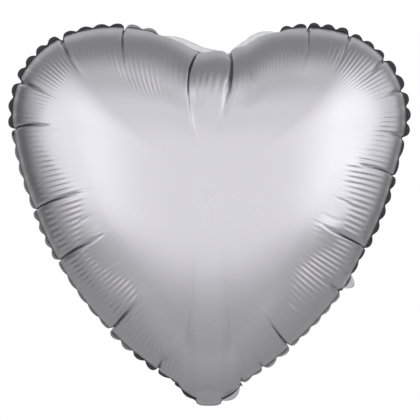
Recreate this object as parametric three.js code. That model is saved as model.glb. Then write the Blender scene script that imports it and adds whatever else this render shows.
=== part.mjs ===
// Heart-shaped foil balloon, inflated.
//
// Two heart-shaped films are welded together round their edge, which leaves a flat welded margin
// outside the seam. At the tip the films carry on as a narrow neck. A self-sealing valve of two thin
// films runs from the neck into the balloon. The neck is folded up behind the balloon at the tip.
//
// Millimetres, +Z up, +X to the viewer's right, front towards -Y. The seam lies in the plane Y = 0.
// The origin is the middle of the fold at the tip, where the neck leaves the balloon.

import * as THREE from "three";

// ---- Driving dimensions ----

const width = 365; // across both lobes, over the welded margin
const lobeRadius = 82.5;
const lobeHeight = 261.5; // centre of each lobe above the tip
const shoulderRadius = 132; // arc from the top of a lobe down into the cleft
const shoulderStart = THREE.MathUtils.degToRad(72); // where that arc takes over from the lobe's arc
const flankRadius = 370; // arc from a lobe down to the tip
const halfThickness = 95; // from the seam plane to the crown of one panel
const crownHeight = 200; // crown of the panels above the tip

const marginWidth = 5.5; // welded margin outside the seam
const marginThickness = 0.5;
const scallopCount = 62; // puckers in the margin's free edge
const scallopDepth = 1.1;

const panelWall = 0.5; // stand-in wall for the film
const gap = 0.3; // between pieces that touch

const neckWidth = 26;
const neckLength = 62;
const neckStart = 2.5; // from the fold line to the neck's own films
const neckFilm = 0.4;
const neckCorner = 2;
const neckFoldAngle = THREE.MathUtils.degToRad(28); // the folded neck's rise above the level

const valveWidth = 21;
const valveFilm = 0.2;
const valveBottom = 10; // lower end of the part inside the balloon
const valveTop = 95;
const valveTailStart = 4; // valve films inside the neck, from the fold line
const valveTailEnd = 38;
const valveCorner = 4;

// ---- Materials ----

const satinFoil = { color: 0xc4c5c9, roughness: 0.34, metalness: 1 };
const brightFoil = { color: 0xcfd0d4, roughness: 0.1, metalness: 1 };
const clearFilm = { color: 0xe4e8ea, roughness: 0.25, metalness: 0, transparent: true, opacity: 0.45 };

const balloon = new THREE.Group();

function addPiece(parent, name, geometry, finish) {
  const mesh = new THREE.Mesh(geometry, new THREE.MeshStandardMaterial(finish));
  mesh.name = name;
  parent.add(mesh);
  return mesh;
}

// ---- The heart's outline ----

// Open path in X and Z from the right corner of the tip, up the right flank, over both lobes and
// down to the left corner of the tip. inset moves the arcs inwards; tipX and tipZ place the corners.
function heartPath(inset, tipX, tipZ) {
  const lobe = new THREE.Vector2(width / 2 - lobeRadius, lobeHeight);
  const lobeArc = lobeRadius - inset;
  const shoulderArc = shoulderRadius - inset;
  const flankArc = flankRadius - inset;

  // The flank arc touches the lobe's arc from outside its centre and passes through the tip's corner.
  const spread = flankRadius - lobeRadius;
  const toTip = new THREE.Vector2(tipX, tipZ).sub(lobe);
  const along = (flankArc ** 2 - toTip.lengthSq() - spread ** 2) / (2 * spread);
  const joinAngle = Math.atan2(toTip.y, toTip.x) + Math.acos(along / toTip.length());
  const flankX = lobe.x - spread * Math.cos(joinAngle);
  const flankZ = lobe.y - spread * Math.sin(joinAngle);
  const tipAngle = Math.atan2(tipZ - flankZ, tipX - flankX);

  const shoulderShift = shoulderRadius - lobeRadius;
  const shoulderX = lobe.x - shoulderShift * Math.cos(shoulderStart);
  const shoulderZ = lobe.y - shoulderShift * Math.sin(shoulderStart);
  const cleftAngle = Math.acos(-shoulderX / shoulderArc);

  const path = new THREE.Path();
  path.absarc(flankX, flankZ, flankArc, tipAngle, joinAngle, false);
  path.absarc(lobe.x, lobe.y, lobeArc, joinAngle, shoulderStart, false);
  path.absarc(shoulderX, shoulderZ, shoulderArc, shoulderStart, cleftAngle, false);
  path.absarc(-shoulderX, shoulderZ, shoulderArc, Math.PI - cleftAngle, Math.PI - shoulderStart, false);
  path.absarc(-lobe.x, lobe.y, lobeArc, Math.PI - shoulderStart, Math.PI - joinAngle, false);
  path.absarc(-flankX, flankZ, flankArc, Math.PI - joinAngle, Math.PI - tipAngle, false);
  return path;
}

// The flanks meet the tip at about 45 degrees, so an inset moves its corners in and up by equal steps.
const tipStep = marginWidth * Math.SQRT1_2;
const seamTipX = neckWidth / 2 - tipStep;
const seamPath = heartPath(marginWidth, seamTipX, tipStep);
const edgePath = heartPath(0, neckWidth / 2, 0);

// ---- Panels ----

const seamSteps = 92;
const panelRings = 8;
const tipTaper = 60; // how far up the flanks the tip's narrower section reaches

const seamRing = [...seamPath.getSpacedPoints(seamSteps), new THREE.Vector2(0, tipStep)];

// Height of the panel over the seam plane, from 0 at the seam to 1 at the crown. inward runs from
// 0 at the seam to 1 at the crown. The film leaves the seam upright, except near the narrow tip.
function swell(inward, fromTip) {
  const exponent = 0.5 + 0.5 * Math.exp(-((fromTip / tipTaper) ** 2));
  return (1 - (1 - inward) ** 3) ** exponent;
}

// One dome, front (side -1) or back (side 1): a turned shell whose rings are drawn out to the heart's
// outline. The inner skin is the outer one made smaller by the wall.
function panelGeometry(side) {
  const profile = [];
  for (let ring = 0; ring <= panelRings; ring++) {
    profile.push({ inward: (1 - ring / panelRings) ** 2, inner: false });
  }
  for (let ring = panelRings; ring >= 0; ring--) {
    profile.push({ inward: (1 - ring / panelRings) ** 2, inner: true });
  }
  const points = profile.map((p) => new THREE.Vector2(1 - p.inward, p.inner ? 0 : 1));
  const geometry = new THREE.LatheGeometry(points, seamRing.length);

  const crown = new THREE.Vector2(0, crownHeight);
  const position = geometry.getAttribute("position");
  for (let column = 0; column <= seamRing.length; column++) {
    const seamPoint = seamRing[column % seamRing.length];
    const reach = seamPoint.distanceTo(crown);
    const fromTip = seamPoint.length();
    profile.forEach((p, row) => {
      const shrink = p.inner ? 1 - panelWall / reach : 1;
      const flat = crown.clone().lerp(seamPoint, (1 - p.inward) * shrink);
      const height = swell(p.inward, fromTip) * (halfThickness - (p.inner ? panelWall : 0));
      position.setXYZ(column * profile.length + row, flat.x, side * (gap + height), flat.y);
    });
  }
  turnOutwards(geometry);
  geometry.computeVertexNormals();
  return geometry;
}

// Reverses the triangles of a closed body whose faces point inwards.
function turnOutwards(geometry) {
  const position = geometry.getAttribute("position");
  const index = geometry.getIndex();
  const [a, b, c] = [new THREE.Vector3(), new THREE.Vector3(), new THREE.Vector3()];
  let volume = 0;
  for (let i = 0; i < index.count; i += 3) {
    a.fromBufferAttribute(position, index.getX(i));
    b.fromBufferAttribute(position, index.getX(i + 1));
    c.fromBufferAttribute(position, index.getX(i + 2));
    volume += a.dot(b.cross(c)) / 6;
  }
  if (volume > 0) return;
  for (let i = 0; i < index.count; i += 3) {
    const first = index.getX(i);
    index.setX(i, index.getX(i + 1));
    index.setX(i + 1, first);
  }
}

addPiece(balloon, "front_panel", panelGeometry(-1), satinFoil);
addPiece(balloon, "back_panel", panelGeometry(1), satinFoil);

// ---- Welded margin ----

// A flat ring in the seam plane, open at the tip where the neck passes. Its free edge is scalloped,
// because the balloon's edge gets shorter as it fills and the margin puckers.
function marginGeometry() {
  const stepsPerScallop = 4;
  const outerSteps = scallopCount * stepsPerScallop;
  const outer = edgePath.getSpacedPoints(outerSteps);
  const scalloped = outer.map((point, i) => {
    const before = outer[Math.max(i - 1, 0)];
    const after = outer[Math.min(i + 1, outerSteps)];
    const inward = after.clone().sub(before).normalize().rotateAround(new THREE.Vector2(), Math.PI / 2);
    const dip = scallopDepth * Math.cos((Math.PI * i) / stepsPerScallop) ** 2;
    return i % outerSteps === 0 ? point : point.clone().addScaledVector(inward, dip);
  });
  const innerStep = tipStep - gap;
  const innerPath = heartPath(marginWidth - gap, neckWidth / 2 - innerStep, innerStep);
  const inner = innerPath.getSpacedPoints(seamSteps * 2).reverse();
  const geometry = new THREE.ExtrudeGeometry(new THREE.Shape([...scalloped, ...inner]), {
    depth: marginThickness,
    bevelEnabled: false,
  });
  geometry.translate(0, 0, -marginThickness / 2);
  geometry.rotateX(Math.PI / 2);
  return geometry;
}

addPiece(balloon, "sealed_margin", marginGeometry(), brightFoil);

// ---- Films of the neck and the valve ----

// A flat strip with round corners at its far end, in X and Y, with its thickness centred on Z = 0.
function stripGeometry(stripWidth, start, end, corner, thickness) {
  const half = stripWidth / 2;
  const shape = new THREE.Shape();
  shape.moveTo(-half, start);
  shape.lineTo(half, start);
  shape.lineTo(half, end - corner);
  shape.absarc(half - corner, end - corner, corner, 0, Math.PI / 2, false);
  shape.lineTo(-half + corner, end);
  shape.absarc(-half + corner, end - corner, corner, Math.PI / 2, Math.PI, false);
  shape.closePath();
  const geometry = new THREE.ExtrudeGeometry(shape, {
    depth: thickness,
    bevelEnabled: false,
    curveSegments: 4,
  });
  geometry.translate(0, 0, -thickness / 2);
  return geometry;
}

// The valve inside the balloon stands upright in the seam plane, one film each side of it.
const valveOffset = (gap + valveFilm) / 2 + 0.1;
for (const [name, side] of [["valve_front_film", 1], ["valve_back_film", -1]]) {
  const film = stripGeometry(valveWidth, valveBottom, valveTop, valveCorner, valveFilm);
  const mesh = addPiece(balloon, name, film, clearFilm);
  mesh.rotation.x = Math.PI / 2;
  mesh.position.y = -side * valveOffset;
}

// The neck is folded back and up at the tip. Its local Y runs from the fold to its open mouth, and
// its local Z points towards the balloon's back panel.
const neck = new THREE.Group();
neck.rotation.x = neckFoldAngle;
balloon.add(neck);

const tailOffset = (gap + valveFilm) / 2;
const neckOffset = tailOffset + valveFilm / 2 + gap + neckFilm / 2;
const neckLayers = [
  ["neck_front_film", -neckOffset],
  ["neck_back_film", neckOffset],
];
for (const [name, offset] of neckLayers) {
  const film = stripGeometry(neckWidth, neckStart, neckStart + neckLength, neckCorner, neckFilm);
  addPiece(neck, name, film, satinFoil).position.z = offset;
}
const tailLayers = [
  ["valve_tail_front", -tailOffset],
  ["valve_tail_back", tailOffset],
];
for (const [name, offset] of tailLayers) {
  const film = stripGeometry(valveWidth, valveTailStart, valveTailEnd, valveCorner, valveFilm);
  addPiece(neck, name, film, clearFilm).position.z = offset;
}

export default balloon;
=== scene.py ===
"""Heart-shaped foil balloon: two satin films welded round the edge and filled, with a folded neck.

Blender add-on layout, run as a script. Metres, +Z up, front towards -Y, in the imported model's frame.
"""

import math

import bmesh
import bpy
import numpy as np
from bpy.props import FloatProperty, FloatVectorProperty, IntProperty, PointerProperty
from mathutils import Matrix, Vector


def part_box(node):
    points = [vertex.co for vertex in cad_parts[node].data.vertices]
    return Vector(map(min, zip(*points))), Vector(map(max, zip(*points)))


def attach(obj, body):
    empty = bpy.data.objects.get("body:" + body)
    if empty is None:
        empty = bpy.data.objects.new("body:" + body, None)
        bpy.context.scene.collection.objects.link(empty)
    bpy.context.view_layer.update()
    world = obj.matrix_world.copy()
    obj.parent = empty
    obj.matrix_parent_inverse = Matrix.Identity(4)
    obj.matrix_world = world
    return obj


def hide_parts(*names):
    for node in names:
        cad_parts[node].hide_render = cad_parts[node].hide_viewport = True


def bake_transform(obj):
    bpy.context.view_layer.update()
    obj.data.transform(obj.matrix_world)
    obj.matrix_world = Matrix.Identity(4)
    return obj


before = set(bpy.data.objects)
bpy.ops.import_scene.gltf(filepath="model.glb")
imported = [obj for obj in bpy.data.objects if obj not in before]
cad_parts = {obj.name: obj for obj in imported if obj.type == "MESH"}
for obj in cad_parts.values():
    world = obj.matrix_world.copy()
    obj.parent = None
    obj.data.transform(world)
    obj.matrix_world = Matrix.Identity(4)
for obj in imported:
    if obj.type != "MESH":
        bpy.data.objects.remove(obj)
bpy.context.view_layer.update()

bl_info = {
    "name": "Foil Heart Balloon",
    "version": (1, 0, 0),
    "blender": (4, 5, 0),
    "location": "View3D > Sidebar > Balloon",
    "description": "Builds a filled heart-shaped foil balloon with its neck, valve and stage",
    "category": "Object",
}

MM = 0.001
MARGIN_LOW, MARGIN_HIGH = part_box("sealed_margin")
PANEL_LOW, PANEL_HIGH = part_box("front_panel")
CROWN = Vector((0.0, 0.0, 0.200))  # where both films are furthest from the seam plane

# Main folds that run in from the seam: where the fold meets the seam, as an angle round the crown in
# degrees from +X; how deep it is, as a share of the deepest; and how far it reaches, in millimetres.
FOLDS = (
    (81, 1.0, 68), (57, 0.6, 30), (46, 0.6, 26), (35, 0.6, 22), (26, 0.5, 17), (14, 0.5, 17),
    (3, 0.8, 32), (-22, 1.0, 42), (-39, 0.5, 18), (-63, 1.0, 38), (-73, 0.5, 14), (-80, 0.4, 9),
    (-106, 0.7, 18), (-124, 1.0, 36), (-153, 1.0, 44), (-172, 1.0, 46), (164, 1.0, 36),
    (151, 0.8, 26), (136, 0.8, 32), (119, 0.9, 34), (93.5, 1.0, 76),
)


# ---- Sizes and colours a user would change ----


class BalloonSizes(bpy.types.PropertyGroup):
    lobe_radius: FloatProperty(
        name="Lobe radius", default=0.0825, unit="LENGTH",
        description="Radius of each lobe over the margin",
    )
    lobe_height: FloatProperty(
        name="Lobe height", default=0.2615, unit="LENGTH",
        description="Centre of each lobe above the tip",
    )
    shoulder_radius: FloatProperty(
        name="Shoulder radius", default=0.132, unit="LENGTH",
        description="Arc from a lobe's top into the cleft",
    )
    flank_radius: FloatProperty(
        name="Flank radius", default=0.370, unit="LENGTH",
        description="Arc from a lobe down to the tip",
    )
    margin_width: FloatProperty(
        name="Margin width", default=0.0055, unit="LENGTH",
        description="Flat welded margin outside the seam",
    )
    draw_in: FloatProperty(
        name="Draw-in", default=0.990, subtype="FACTOR",
        description="How much smaller the films start than they end",
    )
    fold_depth: FloatProperty(
        name="Fold depth", default=0.005, unit="LENGTH",
        description="Depth of the deepest fold at the seam",
    )
    crease_depth: FloatProperty(
        name="Crease depth", default=0.0022, unit="LENGTH",
        description="Depth of the sharp line along a fold",
    )
    crease_width: FloatProperty(
        name="Crease width", default=0.0013, unit="LENGTH",
        description="Half width of the sharp line",
    )
    cleft_shift: FloatProperty(
        name="Cleft shift", default=0.017, unit="LENGTH",
        description="How far the filled cleft sits to the right",
    )
    cleft_lift: FloatProperty(
        name="Cleft lift", default=0.0095, unit="LENGTH",
        description="How far the filled cleft is pulled up",
    )
    fold_width: FloatProperty(
        name="Fold width", default=0.0024, unit="LENGTH",
        description="Half width of a fold at the seam",
    )
    spare_film: FloatProperty(
        name="Spare film", default=0.05, subtype="FACTOR",
        description="Extra film at the seam, as a share",
    )
    wrinkle_pitch: FloatProperty(
        name="Wrinkle pitch", default=0.005, unit="LENGTH",
        description="Distance between fine wrinkles",
    )
    wrinkle_height: FloatProperty(
        name="Wrinkle height", default=0.00035, unit="LENGTH",
        description="Height of the fine wrinkles",
    )
    spokes: IntProperty(
        name="Spokes", default=720,
        description="Mesh steps round the seam, a multiple of 8",
    )


class BalloonColours(bpy.types.PropertyGroup):
    satin: FloatVectorProperty(
        name="Satin film", default=(0.797, 0.785, 0.836), size=3, subtype="COLOR",
        description="Colour of the satin film",
    )
    satin_roughness: FloatProperty(
        name="Satin roughness", default=0.28, subtype="FACTOR",
        description="Roughness of the satin film",
    )
    # Painted light: the colour the margin is painted where it is marked as lit, for the light it mirrors.
    bright: FloatVectorProperty(
        name="Margin", default=(0.80, 0.805, 0.82), size=3, subtype="COLOR",
        description="Colour of the bright margin",
    )
    # Painted shade: the colour the margin is painted elsewhere, for the dark room it mirrors, and the
    # colour painted into the creases and the neck's fold.
    shaded: FloatVectorProperty(
        name="Shade", default=(0.06, 0.06, 0.07), size=3, subtype="COLOR",
        description="Colour of the margin and of the creases where they are in shade",
    )
    bright_roughness: FloatProperty(
        name="Margin roughness", default=0.22, subtype="FACTOR",
        description="Roughness of the bright margin",
    )
    clear: FloatVectorProperty(
        name="Valve film", default=(0.89, 0.91, 0.92), size=3, subtype="COLOR",
        description="Colour of the valve's film",
    )


# ---- The heart's outline ----

ARC_STEPS = 300
SHOULDER_START = math.radians(72)  # where the shoulder's arc takes over from the lobe's


def arc(centre, radius, start, end):
    """Points on an arc, without its last one."""
    turn = (end - start) / ARC_STEPS
    return [
        (centre[0] + radius * math.cos(start + turn * i), centre[1] + radius * math.sin(start + turn * i))
        for i in range(ARC_STEPS)
    ]


def heart_outline(sizes, count):
    """The seam as count even steps from the middle of the tip, anticlockwise seen from the front."""
    inset = sizes.margin_width
    tip_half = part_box("neck_front_film")[1][0]
    tip_x = tip_half - inset * math.sqrt(0.5)
    tip_z = inset * math.sqrt(0.5)
    lobe = ((MARGIN_HIGH[0] - MARGIN_LOW[0]) / 2 - sizes.lobe_radius, sizes.lobe_height)

    # The flank arc touches the lobe's arc and passes through the tip's corner.
    spread = sizes.flank_radius - sizes.lobe_radius
    reach = sizes.flank_radius - inset
    to_tip = (tip_x - lobe[0], tip_z - lobe[1])
    distance = math.hypot(*to_tip)
    along = (reach**2 - distance**2 - spread**2) / (2 * spread)
    join = math.atan2(to_tip[1], to_tip[0]) + math.acos(along / distance)
    flank = (lobe[0] - spread * math.cos(join), lobe[1] - spread * math.sin(join))
    tip = math.atan2(tip_z - flank[1], tip_x - flank[0])

    shift = sizes.shoulder_radius - sizes.lobe_radius
    shoulder = (lobe[0] - shift * math.cos(SHOULDER_START), lobe[1] - shift * math.sin(SHOULDER_START))
    shoulder_reach = sizes.shoulder_radius - inset
    cleft = math.acos(-shoulder[0] / shoulder_reach)

    right = arc(flank, reach, tip, join)
    right += arc(lobe, sizes.lobe_radius - inset, join, SHOULDER_START)
    right += arc(shoulder, shoulder_reach, SHOULDER_START, cleft)
    cleft_z = shoulder[1] + shoulder_reach * math.sin(cleft)
    left = [(-x, z) for x, z in reversed(right)]
    points = np.array([(0.0, tip_z)] + right + [(0.0, cleft_z)] + left + [(0.0, tip_z)])

    steps = np.hypot(*np.diff(points, axis=0).T)
    along_seam = np.concatenate([[0.0], np.cumsum(steps)])
    even = np.linspace(0, along_seam[-1], count, endpoint=False)
    outline = np.column_stack([np.interp(even, along_seam, points[:, i]) for i in (0, 1)])
    return outline, along_seam[-1]


def smooth_ring(values, passes):
    """Averages a closed ring of rows with its neighbours."""
    for _ in range(passes):
        values = (np.roll(values, 1, 0) + 2 * values + np.roll(values, -1, 0)) / 4
    return values


def share(low, high, value):
    """0 below low, 1 above high, and a smooth step between."""
    t = np.clip((value - low) / (high - low), 0.0, 1.0)
    return t * t * (3 - 2 * t)


def hump(value, centre, width):
    """1 at the centre, fading to nothing within about two widths on each side."""
    return np.exp(-(((value - centre) / width) ** 2))


TIP_KEPT, TIP_FREE = 0.015, 0.080  # distances from the tip where the draw-in starts and where it is full
TIP_DROP = 0.0030  # how far the tip is rounded down over the neck's width
SPOKE_REACH = 0.075  # how far a spoke heads square in from the seam before it turns to the crown
TIP_LEAN = 0.060  # distance from the tip within which the films leave the seam at a slant


class Pattern:
    """Where each point of the film lies before it is filled: spokes run in from the seam to the crown."""

    def __init__(self, sizes):
        self.count = sizes.spokes
        outline, self.length = heart_outline(sizes, self.count)
        crown = np.array([CROWN.x, CROWN.z])
        self.crown = crown
        self.cleft = np.array([sizes.cleft_shift, sizes.cleft_lift])
        self.tip_distance = np.hypot(*outline.T)
        drawn = 1 - (1 - sizes.draw_in) * share(TIP_KEPT, TIP_FREE, self.tip_distance)
        even_seam = crown + (outline - crown) * drawn[:, None]
        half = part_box("neck_front_film")[1][0]
        at_tip = outline[:, 1] < 0.02
        even_seam[:, 1] -= TIP_DROP * np.clip(1 - (outline[:, 0] / half) ** 2, 0, 1) * at_tip
        self.even_seam = even_seam
        self.seam = self.warped(even_seam)
        along = np.roll(even_seam, -1, 0) - np.roll(even_seam, 1, 0)
        inward = np.column_stack([-along[:, 1], along[:, 0]])
        inward /= np.linalg.norm(inward, axis=1)[:, None]
        passes = int(30 * (self.count / 480) ** 2)  # the same width of smoothing for any number of spokes
        inward = smooth_ring(inward, passes)
        self.inward = inward / np.linalg.norm(inward, axis=1)[:, None]

        # Spokes bend less near the cleft, and none is bent across the middle.
        straight = hump(even_seam[:, 0], 0.0, 0.035) * share(0.20, 0.26, even_seam[:, 1])
        distance = np.linalg.norm(crown - even_seam, axis=1)
        reach = smooth_ring(np.minimum(SPOKE_REACH, 0.45 * distance) * (1 - 0.4 * straight), 60)
        self.handle = even_seam + self.inward * reach[:, None]
        least = 0.35 * np.abs(even_seam[:, 0])
        sign = np.sign(even_seam[:, 0])
        kept_aside = sign * np.maximum(np.abs(self.handle[:, 0]), least)
        self.handle[:, 0] = np.where(np.abs(even_seam[:, 0]) > MM, kept_aside, self.handle[:, 0])

        self.depth = PANEL_HIGH[1] - PANEL_LOW[1]
        x, z = self.seam.T
        self.near_cleft = (z > 0.25) & (x > -0.048) & (x < 0.066)
        self.folds = [
            (self.nearest(angle), depth * sizes.fold_depth, reach * MM) for angle, depth, reach in FOLDS
        ]

    def nearest(self, angle):
        """The spoke that meets the seam at this angle round the crown."""
        offset = self.seam - self.crown
        angles = np.degrees(np.arctan2(offset[:, 1], offset[:, 0]))
        return int(np.argmin(np.abs((angles - angle + 180) % 360 - 180)))

    def warped(self, places):
        """Places in the seam plane, drawn sideways and up near the cleft, which fills unevenly."""
        x, z = places[..., 0], places[..., 1]
        high = share(0.20, 0.31, z)
        sideways = hump(x, 0.0, 0.045) * high
        raised = 1.1 * hump(x, 0.0, 0.016) + 0.2 * hump(x, 0.035, 0.020)
        slack = 0.6 * hump(x, -0.022, 0.014)
        up = (raised - slack) * high
        return places + np.stack([self.cleft[0] * sideways, self.cleft[1] * up], -1)

    def flat(self, spoke, t):
        """Place in the seam plane at share t of the way from the seam to the crown."""
        seam, handle = self.even_seam[spoke], self.handle[spoke]
        return self.warped((1 - t) ** 2 * seam + 2 * t * (1 - t) * handle + t * t * self.crown)

    def place(self, spoke, t):
        """The film's swollen shape: upright at the seam, except near the narrow tip."""
        flat = self.flat(spoke, t)
        full = np.linalg.norm(self.seam[spoke] - self.crown)
        inward = 1 - min(1.0, np.linalg.norm(flat - self.crown) / full)
        exponent = 0.5 + 0.5 * math.exp(-((self.tip_distance[spoke] / TIP_LEAN) ** 2))
        height = self.depth * (1 - (1 - inward) ** 3) ** exponent
        return Vector((flat[0], -height, flat[1]))


# ---- The films, filled by simulation ----

BAND_END = 0.42  # share of the way to the crown covered by full rings
BAND_RINGS = 12
INNER_BANDS = ((BAND_END, 0.70, 5), (0.70, 0.88, 3), (0.88, 0.94, 1))  # from, to and number of rings
CENTRE_INWARD = 0.2  # stands for a place too far in for folds and wrinkles
WELD_DISTANCE = 1e-6
SIM_SCALE = 10.0  # the solver works best on pieces a few metres across
SIM_FRAMES, QUICK_FRAMES = 20, 10
SPARE_REACH = 0.050  # how far in from the seam the films have film to spare
HELD_START, HELD_FULL = 0.035, 0.065  # from the first to the second the films are held more and more
FOLD_TURN = 0.060  # over this distance a fold turns from along the seam plane towards the inside
CLEFT_FOLD_START = 0.006  # folds at the cleft start this far inside the seam
FILM_WALL = 0.00012
MARGIN_WALL = 0.00025
MARGIN_RINGS = 3
SORT_STEP = 0.001 * MM  # points are put in order by their places rounded to this


def inner_rings():
    """Shares of the way to the crown, and whether every other spoke ends there."""
    rings = [(BAND_END * (i + 1) / BAND_RINGS, False) for i in range(BAND_RINGS)]
    for start, end, steps in INNER_BANDS:
        rings += [(start + (end - start) * (i + 1) / steps, i == 0) for i in range(steps)]
    return rings


def extruded_ring(bm, edges):
    """Extrudes a closed ring of edges and returns its new vertices and edges."""
    geometry = bmesh.ops.extrude_edge_only(bm, edges=edges)["geom"]
    verts = [item for item in geometry if isinstance(item, bmesh.types.BMVert)]
    ring = set(verts)
    new_edges = [
        item for item in geometry if isinstance(item, bmesh.types.BMEdge) and set(item.verts) <= ring
    ]
    return verts, new_edges


def ordered_mesh(bm, name):
    """The finished mesh, with points and faces in an order that is the same on every run."""
    bm.verts.index_update()
    places = np.array([vert.co for vert in bm.verts])
    order = np.lexsort(np.round(places / SORT_STEP).astype(int).T)
    rank = np.empty(len(order), int)
    rank[order] = np.arange(len(order))
    faces = []
    for face in bm.faces:
        corners = [int(rank[vert.index]) for vert in face.verts]
        first = corners.index(min(corners))
        faces.append((corners[first:] + corners[:first], face))
    faces.sort(key=lambda pair: pair[0])

    mesh = bpy.data.meshes.new(name)
    mesh.from_pydata(places[order].tolist(), [], [corners for corners, _ in faces])
    bm.verts.ensure_lookup_table()
    verts = [bm.verts[i] for i in order]
    for domain, kinds, items in (
        ("POINT", bm.verts.layers, verts),
        ("FACE", bm.faces.layers, [face for _, face in faces]),
    ):
        for kind, layers in (("INT", kinds.int), ("FLOAT", kinds.float)):
            for layer in layers.values():
                values = mesh.attributes.new(layer.name, kind, domain).data
                values.foreach_set("value", [item[layer] for item in items])
    bm.free()
    return mesh


def film_bmesh(pattern):
    """Front film and back film welded along the seam, with spoke and inward on each point."""
    bm = bmesh.new()
    spoke_of = bm.verts.layers.int.new("spoke")
    inward_of = bm.verts.layers.float.new("inward")
    piece_of = bm.faces.layers.int.new("piece")

    verts = []
    for spoke in range(pattern.count):
        vert = bm.verts.new(pattern.place(spoke, 0.0))
        vert[spoke_of] = spoke
        verts.append(vert)
    seam = [bm.edges.new((verts[i], verts[(i + 1) % pattern.count])) for i in range(pattern.count)]

    edges, step = seam, 1
    for t, halve in inner_rings():
        verts, edges = extruded_ring(bm, edges)
        for vert in verts:
            vert.co = pattern.place(vert[spoke_of], t)
            distance = np.linalg.norm(pattern.flat(vert[spoke_of], t) - pattern.seam[vert[spoke_of]])
            vert[inward_of] = distance
        if halve:
            by_spoke = {vert[spoke_of]: vert for vert in verts}
            targets = {
                vert: by_spoke[vert[spoke_of] - step] for vert in verts if vert[spoke_of] % (2 * step)
            }
            kept = [vert for vert in verts if vert not in targets]
            bmesh.ops.weld_verts(bm, targetmap=targets)
            step *= 2
            ring = set(kept)
            edges = list({edge for vert in kept for edge in vert.link_edges if set(edge.verts) <= ring})
            verts = kept
    cap = bmesh.ops.contextual_create(bm, geom=edges)["faces"]
    centre = bmesh.ops.poke(bm, faces=cap)["verts"][0]
    centre.co = (pattern.crown[0], -pattern.depth, pattern.crown[1])
    centre[inward_of] = CENTRE_INWARD

    # The back film is the front one turned over, welded to it along the seam.
    mirrored = bmesh.ops.duplicate(bm, geom=bm.verts[:] + bm.edges[:] + bm.faces[:])["geom"]
    back_verts = [item for item in mirrored if isinstance(item, bmesh.types.BMVert)]
    back_faces = [item for item in mirrored if isinstance(item, bmesh.types.BMFace)]
    bmesh.ops.scale(bm, vec=(1, -1, 1), verts=back_verts)
    bmesh.ops.reverse_faces(bm, faces=back_faces)
    for face in back_faces:
        face[piece_of] = 1
    on_seam = [vert for vert in bm.verts if vert[inward_of] == 0.0]
    bmesh.ops.remove_doubles(bm, verts=on_seam, dist=WELD_DISTANCE)
    bmesh.ops.recalc_face_normals(bm, faces=bm.faces[:])
    return bm


def mesh_rows(mesh, attribute):
    """One value for each point of the mesh."""
    kind = mesh.attributes[attribute].data_type
    values = np.zeros(len(mesh.vertices), np.int32 if kind == "INT" else np.float32)
    mesh.attributes[attribute].data.foreach_get("value", values)
    return values


def paint_points(mesh, attribute, values):
    """Keeps one value for each point under a new name on the mesh."""
    mesh.attributes.new(attribute, "FLOAT", "POINT").data.foreach_set("value", values.astype(np.float32))


def positions(mesh):
    places = np.zeros(len(mesh.vertices) * 3)
    mesh.vertices.foreach_get("co", places)
    return places.reshape(-1, 3)


def set_positions(mesh, places):
    mesh.vertices.foreach_set("co", places.astype(np.float32).ravel())
    mesh.update()


def pinch_folds(mesh, pattern, sizes):
    """Presses each fold in, so that the spare film gathers there."""
    places = positions(mesh)
    spoke = mesh_rows(mesh, "spoke")
    inward = mesh_rows(mesh, "inward")
    side = np.sign(places[:, 1])
    step = pattern.length / pattern.count
    out_of_plane = np.radians(60) * np.clip(inward / FOLD_TURN, 0, 1)
    normal = np.column_stack([
        pattern.inward[spoke, 0] * np.cos(out_of_plane),
        -side * np.sin(out_of_plane),
        pattern.inward[spoke, 1] * np.cos(out_of_plane),
    ])
    depth = np.zeros(len(places))
    for index, fold_depth, reach in pattern.folds:
        apart = np.abs((spoke - index + pattern.count // 2) % pattern.count - pattern.count // 2) * step
        across = np.clip(1 - apart / sizes.fold_width, 0, 1)
        along = np.clip(1 - inward / (reach * 1.15), 0, 1)
        if pattern.near_cleft[index]:
            along *= share(0.0, CLEFT_FOLD_START, inward)
        depth = np.maximum(depth, fold_depth * across * along)
    places += normal * depth[:, None]
    set_positions(mesh, places)


def set_weights(piece, name, weights):
    group = piece.vertex_groups.new(name=name)
    for index, weight in enumerate(weights):
        if weight > 0:
            group.add([index], float(weight), "REPLACE")


def fill_with_gas(piece, sizes, pattern):
    """Simulates the films under pressure. The spare film near the seam buckles into folds."""
    mesh = piece.data
    inward = mesh_rows(mesh, "inward")
    spare = np.clip(1 - inward / SPARE_REACH, 0, 1) ** 0.9
    held = share(HELD_START, HELD_FULL, inward)

    # The tip is held by the neck, and the seam beside the cleft stays where the pattern puts it.
    spoke = mesh_rows(mesh, "spoke")
    held[(pattern.tip_distance[spoke] < 0.014) & (inward < 0.010)] = 1.0
    held[pattern.near_cleft[spoke] & (inward < MM)] = 1.0
    set_weights(piece, "taut", 1 - spare)
    set_weights(piece, "held", held)

    modifier = piece.modifiers.new("gas", "CLOTH")
    cloth = modifier.settings
    cloth.quality = 8
    cloth.mass = 0.05
    cloth.tension_stiffness = cloth.compression_stiffness = 80
    cloth.shear_stiffness = 20
    cloth.bending_model = "ANGULAR"
    cloth.bending_stiffness = 0.02
    cloth.tension_damping = cloth.compression_damping = cloth.shear_damping = 1.0
    cloth.bending_damping = 0.1
    cloth.air_damping = 2.0
    cloth.use_pressure = True
    cloth.uniform_pressure_force = 4.0
    cloth.effector_weights.gravity = 0
    cloth.shrink_min = -sizes.spare_film
    cloth.shrink_max = 0.0
    cloth.vertex_group_shrink = "taut"
    cloth.vertex_group_mass = "held"
    cloth.pin_stiffness = 5.0
    modifier.collision_settings.use_collision = False
    modifier.collision_settings.use_self_collision = False

    frames = SIM_FRAMES
    modifier.point_cache.frame_start = 1
    modifier.point_cache.frame_end = frames
    scene = bpy.context.scene
    for number in range(1, frames + 1):
        scene.frame_set(number)
    evaluated = piece.evaluated_get(bpy.context.evaluated_depsgraph_get())
    places = positions(evaluated.data)
    piece.modifiers.remove(modifier)
    scene.frame_set(1)
    set_positions(mesh, places)


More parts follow.
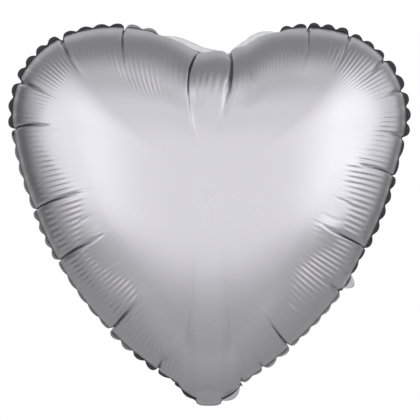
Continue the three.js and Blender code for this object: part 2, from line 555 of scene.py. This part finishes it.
def new_piece(name, mesh):
    piece = bpy.data.objects.new(name, mesh)
    bpy.context.scene.collection.objects.link(piece)
    return piece


def apply_modifiers(piece):
    """Replaces the piece's mesh by the one its modifiers give."""
    evaluated = piece.evaluated_get(bpy.context.evaluated_depsgraph_get())
    mesh = bpy.data.meshes.new_from_object(evaluated)
    piece.modifiers.clear()
    piece.data = mesh


def split_film(whole, number, name):
    """One of the welded films as a piece of its own."""
    bm = bmesh.new()
    bm.from_mesh(whole.data)
    piece_of = bm.faces.layers.int["piece"]
    other = [face for face in bm.faces if face[piece_of] != number]
    bmesh.ops.delete(bm, geom=other, context="FACES")
    mesh = bpy.data.meshes.new(name)
    bm.to_mesh(mesh)
    bm.free()
    mesh.polygons.foreach_set("use_smooth", [True] * len(mesh.polygons))
    return new_piece(name, mesh)


# Stretches of the margin painted as lit, for where it lies back to the light; the rest is painted dark,
# for the dark room it mirrors. From and to, as angles round the crown, how brightly it is painted,
# and how wide the stretch is if it lies flat in one piece, or 0 if it is gathered.
LIT_MARGIN = (
    (-87, -81, 0.55, 0.85), (-79, -40, 0.34, 0), (-38, -33, 0.7, 1.25),
    (65, 81, 1.0, 1.1), (81, 85, 1.0, 0.2), (85, 108, 1.0, 1.25), (108, 119, 0.35, 0),
    (166, 246, 0.24, 0),
)

SCALLOP_PITCH = 0.0145  # length of one gathered scallop along the seam
WIDE_SCALLOP, NARROW_SCALLOP = 0.62, 0.42  # shares of the full margin width
GATHERED_WIDTH = 0.06  # share left where the margin gathers
NARROW_BELOW = 0.22  # height above the tip under which the scallops are narrow
RIPPLE = 0.0014  # how far the seam moves in and out with the scallops
RIPPLE_FULL = 0.6  # share of the full margin width at which the seam is furthest out
RIPPLE_REACH = 0.006  # how far into the films it fades
SEAM_LIT = 0.2  # share of the margin's painted brightness kept where it meets the films, a painted dark line along the seam


def scallops(pattern):
    """For each spoke: share of the full margin width, tilt out of the seam plane, and painted brightness.
    """
    step = pattern.length / pattern.count
    stretches = [(pattern.nearest(a), pattern.nearest(b), lit, flat) for a, b, lit, flat in LIT_MARGIN]
    flats = {(start, end): flat for start, end, _, flat in stretches if flat}
    marks = {0, pattern.count}
    for start, end in flats:
        marks |= {start, end}
    for index, _, _ in pattern.folds:
        if not any(start < index < end for start, end in flats):
            marks.add(index)
    marks = sorted(marks)
    width = np.ones(pattern.count)
    tilt = np.zeros(pattern.count)
    lit = np.zeros(pattern.count)
    # Painted light: how brightly each stretch of the margin is painted; 0 leaves it painted dark.
    for start, end, bright, _ in stretches:
        lit[start:end + 1] = np.maximum(lit[start:end + 1], bright)

    for number, (start, end) in enumerate(zip(marks, marks[1:])):
        flat = flats.get((start, end), 0)
        waves = 1 if flat else max(1, round((end - start) * step / SCALLOP_PITCH))
        u = (np.arange(start, end) - start) / (end - start) * waves
        low = pattern.seam[start % pattern.count][1] < NARROW_BELOW
        narrow = low or lit[(start + end) // 2 % pattern.count] > 0
        full = flat or (NARROW_SCALLOP if narrow else WIDE_SCALLOP) + 0.12 * math.sin(3.7 * number)
        bow = np.abs(np.sin(math.pi * u)) ** (1.0 if flat else 0.7)
        width[start:end] = GATHERED_WIDTH + (full - GATHERED_WIDTH) * bow
        if flat:
            tilt[start:end] = 0.05 + 0.05 * np.sin(np.arange(start, end) * 0.8)
        else:
            tilt[start:end] = 0.10 * math.sin(2.4 * number) + 0.08 * np.sin(2.1 * math.pi * u + number)
    return width, tilt, lit


def gather_seam(mesh, pattern):
    """Moves the seam in where the margin gathers and out between, except where it is lit and flat."""
    width, _, lit = scallops(pattern)
    ripple = RIPPLE * (np.minimum(width / RIPPLE_FULL, 1.0) - 0.6) * (lit < 0.9)
    ripple *= share(0.014, 0.030, pattern.tip_distance)
    places = positions(mesh)
    spoke = mesh_rows(mesh, "spoke")
    amount = ripple[spoke] * np.exp(-mesh_rows(mesh, "inward") / RIPPLE_REACH)
    places[:, (0, 2)] -= pattern.inward[spoke] * amount[:, None]
    set_positions(mesh, places)


def margin_piece(whole, pattern, sizes):
    """The flat welded margin, drawn out from the filled films' seam."""
    places = positions(whole.data)
    spoke = mesh_rows(whole.data, "spoke")
    on_seam = np.flatnonzero(mesh_rows(whole.data, "inward") == 0.0)
    seam = np.zeros((pattern.count, 3))
    seam[spoke[on_seam]] = places[on_seam]
    width, tilt, lit = scallops(pattern)

    bm = bmesh.new()
    spoke_of = bm.verts.layers.int.new("spoke")
    # Painted light: lit holds the brightness painted into the margin's colour, kept lower at the seam.
    lit_of = bm.verts.layers.float.new("lit")
    verts = []
    for index, place in enumerate(seam):
        vert = bm.verts.new(place)
        vert[spoke_of] = index
        vert[lit_of] = SEAM_LIT * lit[index]
        verts.append(vert)
    edges = [bm.edges.new((verts[i], verts[(i + 1) % pattern.count])) for i in range(pattern.count)]
    for ring in range(1, MARGIN_RINGS + 1):
        verts, edges = extruded_ring(bm, edges)
        for vert in verts:
            index = vert[spoke_of]
            out = sizes.margin_width * width[index] * ring / MARGIN_RINGS
            flat = -pattern.inward[index] * out
            vert.co = seam[index] + (flat[0], -tilt[index] * out, flat[1])
            vert[lit_of] = lit[index]

    # The margin stops at the neck, which takes its place at the tip.
    over_neck = []
    for face in bm.faces:
        middle = face.calc_center_median()
        if middle.z < 0.010 and abs(middle.x) < 0.0115:
            over_neck.append(face)
    bmesh.ops.delete(bm, geom=over_neck, context="FACES")
    bmesh.ops.recalc_face_normals(bm, faces=bm.faces[:])
    return new_piece("welded_margin", ordered_mesh(bm, "welded_margin"))


def subdivide(piece):
    """One round of subdivision."""
    modifier = piece.modifiers.new("smooth", "SUBSURF")
    modifier.levels = modifier.render_levels = 1
    apply_modifiers(piece)


def wrinkle_heights(inward, around, x, z, seam_length, sizes):
    """How far the fine wrinkles stand out of the film. x and z: where each point's spoke meets the seam."""
    phase = 2 * math.pi * around / sizes.wrinkle_pitch
    drift = 1.6 * np.sin(around / 0.031 + 1.0) + 1.1 * np.sin(around / 0.0173 + 2.2)
    wave = np.sin(phase + drift)
    swell = 0.75 + 0.3 * np.sin(around / 0.0231 + 0.7) * np.sin(around / 0.0127 + inward / 0.02)

    # They reach further in, and start further in, on top of the left lobe beside the cleft.
    top = share(0.27, 0.31, z) * (1 - share(0.015, 0.035, x))
    top *= share(-0.095, -0.080, x)
    reach = 0.040 + 0.010 * np.sin(around / 0.019) + 0.024 * top
    start = 0.006 + 0.010 * top
    mask = share(start, start + 0.012, inward) * (1 - share(reach * 0.6, reach, inward))
    mask *= share(0.020, 0.045, np.minimum(around, seam_length - around))

    # They are lower on the lobes, except beside the cleft, and highest on the lower left flank.
    strength = 1 - 0.35 * share(0.26, 0.30, z)
    left = 1 - share(-0.02, 0.02, x)
    strength += (0.2 + 1.0 * left) * (1 - share(0.12, 0.19, z))
    strength += 0.6 * top * share(-0.070, -0.055, x)
    return wave * swell * mask * sizes.wrinkle_height * strength


def add_wrinkles(piece, pattern, sizes):
    """Fine wrinkles between the folds, and a sharp crease along each fold, painted as shade too."""
    mesh = piece.data
    places = positions(mesh)
    normals = np.zeros(len(mesh.vertices) * 3)
    mesh.vertices.foreach_get("normal", normals)
    normals = normals.reshape(-1, 3)
    inward = mesh_rows(mesh, "inward")
    around = mesh_rows(mesh, "around")
    step = pattern.length / pattern.count
    spoke = np.round(around / pattern.length * pattern.count).astype(int) % pattern.count
    x, z = pattern.seam[spoke].T
    height = wrinkle_heights(inward, around, x, z, pattern.length, sizes)

    shade = np.zeros(len(places))
    for index, depth, reach in pattern.folds:
        apart = np.abs(around - index * step)
        apart = np.minimum(apart, pattern.length - apart)
        across = np.clip(1 - apart / sizes.crease_width, 0, 1)
        along = share(0.0, 0.004, inward) * np.clip(1 - inward / reach, 0, 1) ** 0.7
        height -= sizes.crease_depth * depth / sizes.fold_depth * across * along
        # Painted shade along each fold's crease line.
        line = np.clip(1.3 - 1.5 * apart / sizes.crease_width, 0, 1)
        shade = np.maximum(shade, depth / sizes.fold_depth * line * share(0.30, 0.75, along))
    places += normals * height[:, None]
    paint_points(mesh, "shade", shade)
    set_positions(mesh, places)


def thicken(piece, thickness, offset=-1.0):
    modifier = piece.modifiers.new("wall", "SOLIDIFY")
    modifier.thickness = thickness
    modifier.offset = offset
    apply_modifiers(piece)


def finish_piece(piece, material, node, body="envelope"):
    piece.data.materials.clear()
    piece.data.materials.append(material)
    piece.data.polygons.foreach_set("use_smooth", [True] * len(piece.data.polygons))
    if body:
        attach(piece, body)
    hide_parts(node)


# ---- Materials ----


def link(tree, source, target):
    tree.links.new(source, target)


def film_texture_group():
    """Shared by the metallised films: faint cloudy haze and fine grain, as roughness and as a normal."""
    name = "film haze"
    if name in bpy.data.node_groups:
        return bpy.data.node_groups[name]
    group = bpy.data.node_groups.new(name, "ShaderNodeTree")
    face = group.interface
    for socket, default in (("Roughness", 0.3), ("Haze", 0.03), ("Grain", 0.1)):
        item = face.new_socket(socket, in_out="INPUT", socket_type="NodeSocketFloat")
        item.default_value = default
    face.new_socket("Roughness", in_out="OUTPUT", socket_type="NodeSocketFloat")
    face.new_socket("Normal", in_out="OUTPUT", socket_type="NodeSocketVector")
    nodes = group.nodes
    given = nodes.new("NodeGroupInput")
    result = nodes.new("NodeGroupOutput")
    place = nodes.new("ShaderNodeTexCoord")

    haze = nodes.new("ShaderNodeTexNoise")
    haze.inputs["Scale"].default_value = 28.0
    haze.inputs["Detail"].default_value = 4.0
    link(group, place.outputs["Object"], haze.inputs["Vector"])
    centred = nodes.new("ShaderNodeMath")
    centred.operation = "SUBTRACT"
    centred.inputs[1].default_value = 0.5
    link(group, haze.outputs["Fac"], centred.inputs[0])
    scaled = nodes.new("ShaderNodeMath")
    scaled.operation = "MULTIPLY_ADD"
    link(group, centred.outputs[0], scaled.inputs[0])
    link(group, given.outputs["Haze"], scaled.inputs[1])
    link(group, given.outputs["Roughness"], scaled.inputs[2])
    link(group, scaled.outputs[0], result.inputs["Roughness"])

    grain = nodes.new("ShaderNodeTexNoise")
    grain.inputs["Scale"].default_value = 900.0
    grain.inputs["Detail"].default_value = 2.0
    link(group, place.outputs["Object"], grain.inputs["Vector"])
    bump = nodes.new("ShaderNodeBump")
    bump.inputs["Distance"].default_value = 0.0001
    link(group, given.outputs["Grain"], bump.inputs["Strength"])
    link(group, grain.outputs["Fac"], bump.inputs["Height"])
    link(group, bump.outputs["Normal"], result.inputs["Normal"])
    return group


def metallised(name, colour, roughness, haze, grain):
    """A metallised film: a plain metal with haze in its roughness and a fine grain."""
    material = bpy.data.materials.new(name)
    material.use_nodes = True
    tree = material.node_tree
    shader = tree.nodes["Principled BSDF"]
    shader.inputs["Metallic"].default_value = 1.0
    shader.inputs["Base Color"].default_value = (*colour, 1.0)
    texture = tree.nodes.new("ShaderNodeGroup")
    texture.node_tree = film_texture_group()
    texture.inputs["Roughness"].default_value = roughness
    texture.inputs["Haze"].default_value = haze
    texture.inputs["Grain"].default_value = grain
    link(tree, texture.outputs["Roughness"], shader.inputs["Roughness"])
    link(tree, texture.outputs["Normal"], shader.inputs["Normal"])
    return material


def mix_by(material, attribute, low, high):
    """Sets the metal's colour between two, by a value painted on the piece."""
    tree = material.node_tree
    painted = tree.nodes.new("ShaderNodeAttribute")
    painted.attribute_name = attribute
    mix = tree.nodes.new("ShaderNodeMix")
    mix.data_type = "RGBA"
    mix.inputs["A"].default_value = (*low, 1.0)
    mix.inputs["B"].default_value = (*high, 1.0)
    link(tree, painted.outputs["Fac"], mix.inputs["Factor"])
    link(tree, mix.outputs["Result"], tree.nodes["Principled BSDF"].inputs["Base Color"])
    return material


def margin_film(name, colours):
    """The bright margin, with a painted reflection: its colour is painted dark for the dark of the room it
    mirrors, and bright by the painted lit value where the film lies back to the light.
    """
    material = metallised(name, colours.bright, colours.bright_roughness, haze=0.04, grain=0.05)
    return mix_by(material, "lit", colours.shaded, colours.bright)


def clear_film(name, colour):
    """Thin polyethylene: mostly see-through, with faint lengthwise streaks."""
    material = bpy.data.materials.new(name)
    material.use_nodes = True
    tree = material.node_tree
    shader = tree.nodes["Principled BSDF"]
    shader.inputs["Base Color"].default_value = (*colour, 1.0)
    shader.inputs["Alpha"].default_value = 0.45
    place = tree.nodes.new("ShaderNodeTexCoord")
    streaks = tree.nodes.new("ShaderNodeTexNoise")
    streaks.inputs["Scale"].default_value = 60.0
    stretch = tree.nodes.new("ShaderNodeMapping")
    stretch.inputs["Scale"].default_value = (6.0, 0.4, 0.4)
    link(tree, place.outputs["Object"], stretch.inputs["Vector"])
    link(tree, stretch.outputs["Vector"], streaks.inputs["Vector"])
    spread = tree.nodes.new("ShaderNodeMapRange")
    spread.inputs["To Min"].default_value = 0.15
    spread.inputs["To Max"].default_value = 0.40
    link(tree, streaks.outputs["Fac"], spread.inputs["Value"])
    link(tree, spread.outputs["Result"], shader.inputs["Roughness"])
    return material


def material_named(name):
    """The balloon's materials, each made once from the user's colours."""
    if name in bpy.data.materials:
        return bpy.data.materials[name]
    colours = bpy.context.scene.balloon_colours
    if name == "satin film":
        material = metallised(name, colours.satin, colours.satin_roughness, haze=0.05, grain=0.02)
        # Painted shade: the satin film's colour is darkened towards the shade colour along the creases and
        # at the neck's fold.
        return mix_by(material, "shade", colours.satin, colours.shaded)
    if name == "bright margin":
        return margin_film(name, colours)
    return clear_film(name, colours.clear)


# ---- Operators ----


class BALLOON_OT_films(bpy.types.Operator):
    """Make the front film, the back film and the welded margin, and fill them"""

    bl_idname = "balloon.films"
    bl_label = "Films and margin"

    def execute(self, context):
        sizes = context.scene.balloon_sizes
        pattern = Pattern(sizes)
        mesh = ordered_mesh(film_bmesh(pattern), "films")
        whole = new_piece("films", mesh)
        pinch_folds(mesh, pattern, sizes)
        set_positions(mesh, positions(mesh) * SIM_SCALE)
        fill_with_gas(whole, sizes, pattern)
        set_positions(mesh, positions(mesh) / SIM_SCALE)
        gather_seam(mesh, pattern)
        paint_points(mesh, "around", mesh_rows(mesh, "spoke") * (pattern.length / pattern.count))

        front = split_film(whole, 0, "front_film")
        back = split_film(whole, 1, "back_film")
        margin = margin_piece(whole, pattern, sizes)
        bpy.data.objects.remove(whole)
        for piece in (front, back):
            subdivide(piece)
            add_wrinkles(piece, pattern, sizes)
            thicken(piece, FILM_WALL)
        subdivide(margin)
        thicken(margin, MARGIN_WALL, offset=0.0)
        satin = material_named("satin film")
        finish_piece(front, satin, "front_panel")
        finish_piece(back, satin, "back_panel")
        finish_piece(margin, material_named("bright margin"), "sealed_margin")
        return {"FINISHED"}


NECK_STEPS_ACROSS = 14
NECK_GATHER = 0.14  # how much narrower the neck is at its fold
NECK_CORNER = 0.0022  # how far the fold's two ends are rounded up
NECK_SHADE = 0.22  # painted shade on the fold's underside, which mirrors less light
NECK_STEPS_ALONG = 26
NECK_RISE = math.radians(28)  # the folded neck's rise above the level
NECK_HALF_GAP = 0.00085  # from the neck's middle to each of its films
NECK_STRAIGHT = 0.0032  # how far from the fold line the neck runs straight

# How the neck's films run from the tip round the fold, in Y and Z. The outer one is the front film's.
OUTER_BEND = (
    (-0.0030, 0.0046), (-0.0026, 0.0026), (-0.0019, 0.0010),
    (-0.0009, -0.0003), (0.0003, -0.0010), (0.0018, -0.0007),
)
INNER_BEND = ((0.0002, 0.0070), (0.0003, 0.0045), (0.0006, 0.0026), (0.0012, 0.0017), (0.0021, 0.0017))


def neck_path(outer):
    """The film's run in Y and Z: out of the tip, round the fold and along the folded neck."""
    low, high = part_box("neck_front_film")
    along = Vector((0.0, math.cos(NECK_RISE), math.sin(NECK_RISE)))
    inner = Vector((0.0, -math.sin(NECK_RISE), math.cos(NECK_RISE)))
    length = (high[1] - low[1]) / math.cos(NECK_RISE)
    bend = [Vector((0, y, z)) for y, z in (OUTER_BEND if outer else INNER_BEND)]
    offset = inner * (-NECK_HALF_GAP if outer else NECK_HALF_GAP)
    run = [
        along * (NECK_STRAIGHT + (length - NECK_STRAIGHT) * i / NECK_STEPS_ALONG) + offset
        for i in range(NECK_STEPS_ALONG + 1)
    ]
    return bend + run


class BALLOON_OT_neck(bpy.types.Operator):
    """Make the neck's two films, which bend at the fold"""

    bl_idname = "balloon.neck"
    bl_label = "Neck"

    def execute(self, context):
        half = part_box("neck_front_film")[1][0]
        for name, node, outer in (
            ("neck_front", "neck_front_film", True),
            ("neck_back", "neck_back_film", False),
        ):
            path = neck_path(outer)
            bm = bmesh.new()
            row = [
                bm.verts.new(path[0] + Vector((half * (2 * i / NECK_STEPS_ACROSS - 1), 0, 0)))
                for i in range(NECK_STEPS_ACROSS + 1)
            ]
            edges = [bm.edges.new(pair) for pair in zip(row, row[1:])]
            for before, after in zip(path, path[1:]):
                verts, edges = extruded_ring(bm, edges)
                bmesh.ops.translate(bm, vec=after - before, verts=verts)
            for vert in bm.verts:
                x = vert.co.x / half
                bend = 1 - share(0.0, 0.012, vert.co.y)
                vert.co.x *= 1 - NECK_GATHER * bend
                vert.co.z += NECK_CORNER * bend * x * x * x * x
            bmesh.ops.recalc_face_normals(bm, faces=bm.faces[:])
            piece = new_piece(name, ordered_mesh(bm, name))
            subdivide(piece)
            # Painted shade on the neck near its fold.
            near_fold = 1 - share(0.002, 0.008, positions(piece.data)[:, 1])
            paint_points(piece.data, "shade", NECK_SHADE * near_fold)
            thicken(piece, FILM_WALL, offset=0.0)
            finish_piece(piece, material_named("satin film"), node, body=None)
            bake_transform(piece)
        return {"FINISHED"}


class BALLOON_OT_valve(bpy.types.Operator):
    """Give the valve's films their clear finish"""

    bl_idname = "balloon.valve"
    bl_label = "Valve"

    def execute(self, context):
        material = material_named("clear film")
        for node in ("valve_front_film", "valve_back_film", "valve_tail_front", "valve_tail_back"):
            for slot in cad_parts[node].material_slots:
                slot.material = material
        return {"FINISHED"}


# ---- Stage ----


def area_light(name, place, target, width, height, power, spread):
    light = bpy.data.lights.new(name, "AREA")
    light.shape = "RECTANGLE"
    light.size = width
    light.size_y = height
    light.energy = power
    light.spread = math.radians(spread)
    lamp = bpy.data.objects.new(name, light)
    bpy.context.scene.collection.objects.link(lamp)
    lamp.location = place
    lamp.rotation_euler = (Vector(target) - Vector(place)).to_track_quat("-Z", "Y").to_euler()


# Soft patches of light in the surroundings: azimuth and elevation seen from the balloon in degrees,
# with 0 towards the front and positive to the right, then inner and outer radius and strength.
PATCHES = (
    (0, -5, 70, 92, 0.36),
    (3, 4, 42, 66, 0.24),
    (0, 50, 0, 36, -0.17),
    (79, 8, 0, 60, 0.52),
    (-66, 6, 0, 56, 0.34),
    (-125, 0, 0, 36, -0.13),
    (132, -5, 0, 32, -0.08),
    (180, 22, 10, 45, 0.24),
)
ROOM_GREY = 0.25
FLOOR_RADIUS, FLOOR_HEIGHT, FLOOR_GREY = 1.5, -0.30, 0.58
CAMERA_PLACE, CAMERA_LENS = (0.001, -1.6, 0.177), 151.0


def surroundings(world):
    """A grey room with soft patches of light for the film to mirror, and a white backdrop to look at."""
    world.use_nodes = True
    tree = world.node_tree
    nodes = tree.nodes
    direction = nodes.new("ShaderNodeTexCoord").outputs["Generated"]
    total = None
    for azimuth, elevation, inner, outer, strength in PATCHES:
        a, e = math.radians(azimuth), math.radians(elevation)
        dot = nodes.new("ShaderNodeVectorMath")
        dot.operation = "DOT_PRODUCT"
        dot.inputs[1].default_value = (math.sin(a) * math.cos(e), -math.cos(a) * math.cos(e), math.sin(e))
        link(tree, direction, dot.inputs[0])
        patch = nodes.new("ShaderNodeMapRange")
        patch.interpolation_type = "SMOOTHSTEP"
        patch.inputs["From Min"].default_value = math.cos(math.radians(outer))
        patch.inputs["From Max"].default_value = math.cos(math.radians(inner))
        patch.inputs["To Max"].default_value = strength
        link(tree, dot.outputs["Value"], patch.inputs["Value"])
        if total is None:
            patch.inputs["To Min"].default_value = ROOM_GREY
            patch.inputs["To Max"].default_value = ROOM_GREY + strength
            total = patch.outputs["Result"]
        else:
            add = nodes.new("ShaderNodeMath")
            add.operation = "ADD"
            link(tree, total, add.inputs[0])
            link(tree, patch.outputs["Result"], add.inputs[1])
            total = add.outputs[0]
    room = nodes["Background"]
    link(tree, total, room.inputs["Color"])
    backdrop = nodes.new("ShaderNodeBackground")
    backdrop.inputs["Color"].default_value = (1, 1, 1, 1)
    seen = nodes.new("ShaderNodeLightPath")
    mix = nodes.new("ShaderNodeMixShader")
    link(tree, seen.outputs["Is Camera Ray"], mix.inputs["Fac"])
    link(tree, room.outputs[0], mix.inputs[1])
    link(tree, backdrop.outputs[0], mix.inputs[2])
    link(tree, mix.outputs[0], nodes["World Output"].inputs["Surface"])


class BALLOON_OT_stage(bpy.types.Operator):
    """Make the floor, the lights, the surroundings and the camera"""

    bl_idname = "balloon.stage"
    bl_label = "Stage"

    def execute(self, context):
        scene = context.scene
        bm = bmesh.new()
        bmesh.ops.create_circle(bm, cap_ends=True, segments=96, radius=FLOOR_RADIUS)
        bmesh.ops.translate(bm, vec=(0, 0, FLOOR_HEIGHT), verts=bm.verts)
        mesh = bpy.data.meshes.new("floor")
        bm.to_mesh(mesh)
        bm.free()
        floor = new_piece("floor", mesh)
        paint = bpy.data.materials.new("floor")
        paint.use_nodes = True
        shader = paint.node_tree.nodes["Principled BSDF"]
        shader.inputs["Base Color"].default_value = (FLOOR_GREY, FLOOR_GREY, FLOOR_GREY, 1)
        shader.inputs["Roughness"].default_value = 0.7
        floor.data.materials.append(paint)

        world = bpy.data.worlds.new("studio")
        surroundings(world)
        scene.world = world
        scene.view_settings.view_transform = "Standard"

        above, below = (0.0, -1.35, 1.2), (0.0, -1.35, FLOOR_HEIGHT)
        area_light("floor light", above, below, width=1.6, height=0.5, power=8.0, spread=100)

        camera = bpy.data.cameras.new("camera")
        camera.lens = CAMERA_LENS
        lens = bpy.data.objects.new("camera", camera)
        scene.collection.objects.link(lens)
        lens.location = CAMERA_PLACE
        lens.rotation_euler = (math.radians(90), 0, 0)
        scene.camera = lens
        return {"FINISHED"}


class BALLOON_PT_panel(bpy.types.Panel):
    bl_label = "Foil Heart Balloon"
    bl_idname = "BALLOON_PT_panel"
    bl_space_type = "VIEW_3D"
    bl_region_type = "UI"
    bl_category = "Balloon"

    def draw(self, context):
        for step in STEPS:
            self.layout.operator(step.bl_idname)
        for settings in (context.scene.balloon_sizes, context.scene.balloon_colours):
            for name in settings.__annotations__:
                self.layout.prop(settings, name)


STEPS = (BALLOON_OT_stage, BALLOON_OT_films, BALLOON_OT_neck, BALLOON_OT_valve)
CLASSES = (BalloonSizes, BalloonColours, *STEPS, BALLOON_PT_panel)


def register():
    for item in CLASSES:
        bpy.utils.register_class(item)
    bpy.types.Scene.balloon_sizes = PointerProperty(type=BalloonSizes)
    bpy.types.Scene.balloon_colours = PointerProperty(type=BalloonColours)


def unregister():
    del bpy.types.Scene.balloon_colours
    del bpy.types.Scene.balloon_sizes
    for item in reversed(CLASSES):
        bpy.utils.unregister_class(item)


def main():
    register()
    bpy.ops.balloon.stage()
    bpy.ops.balloon.films()
    bpy.ops.balloon.neck()
    bpy.ops.balloon.valve()


if __name__ == "__main__":
    main()
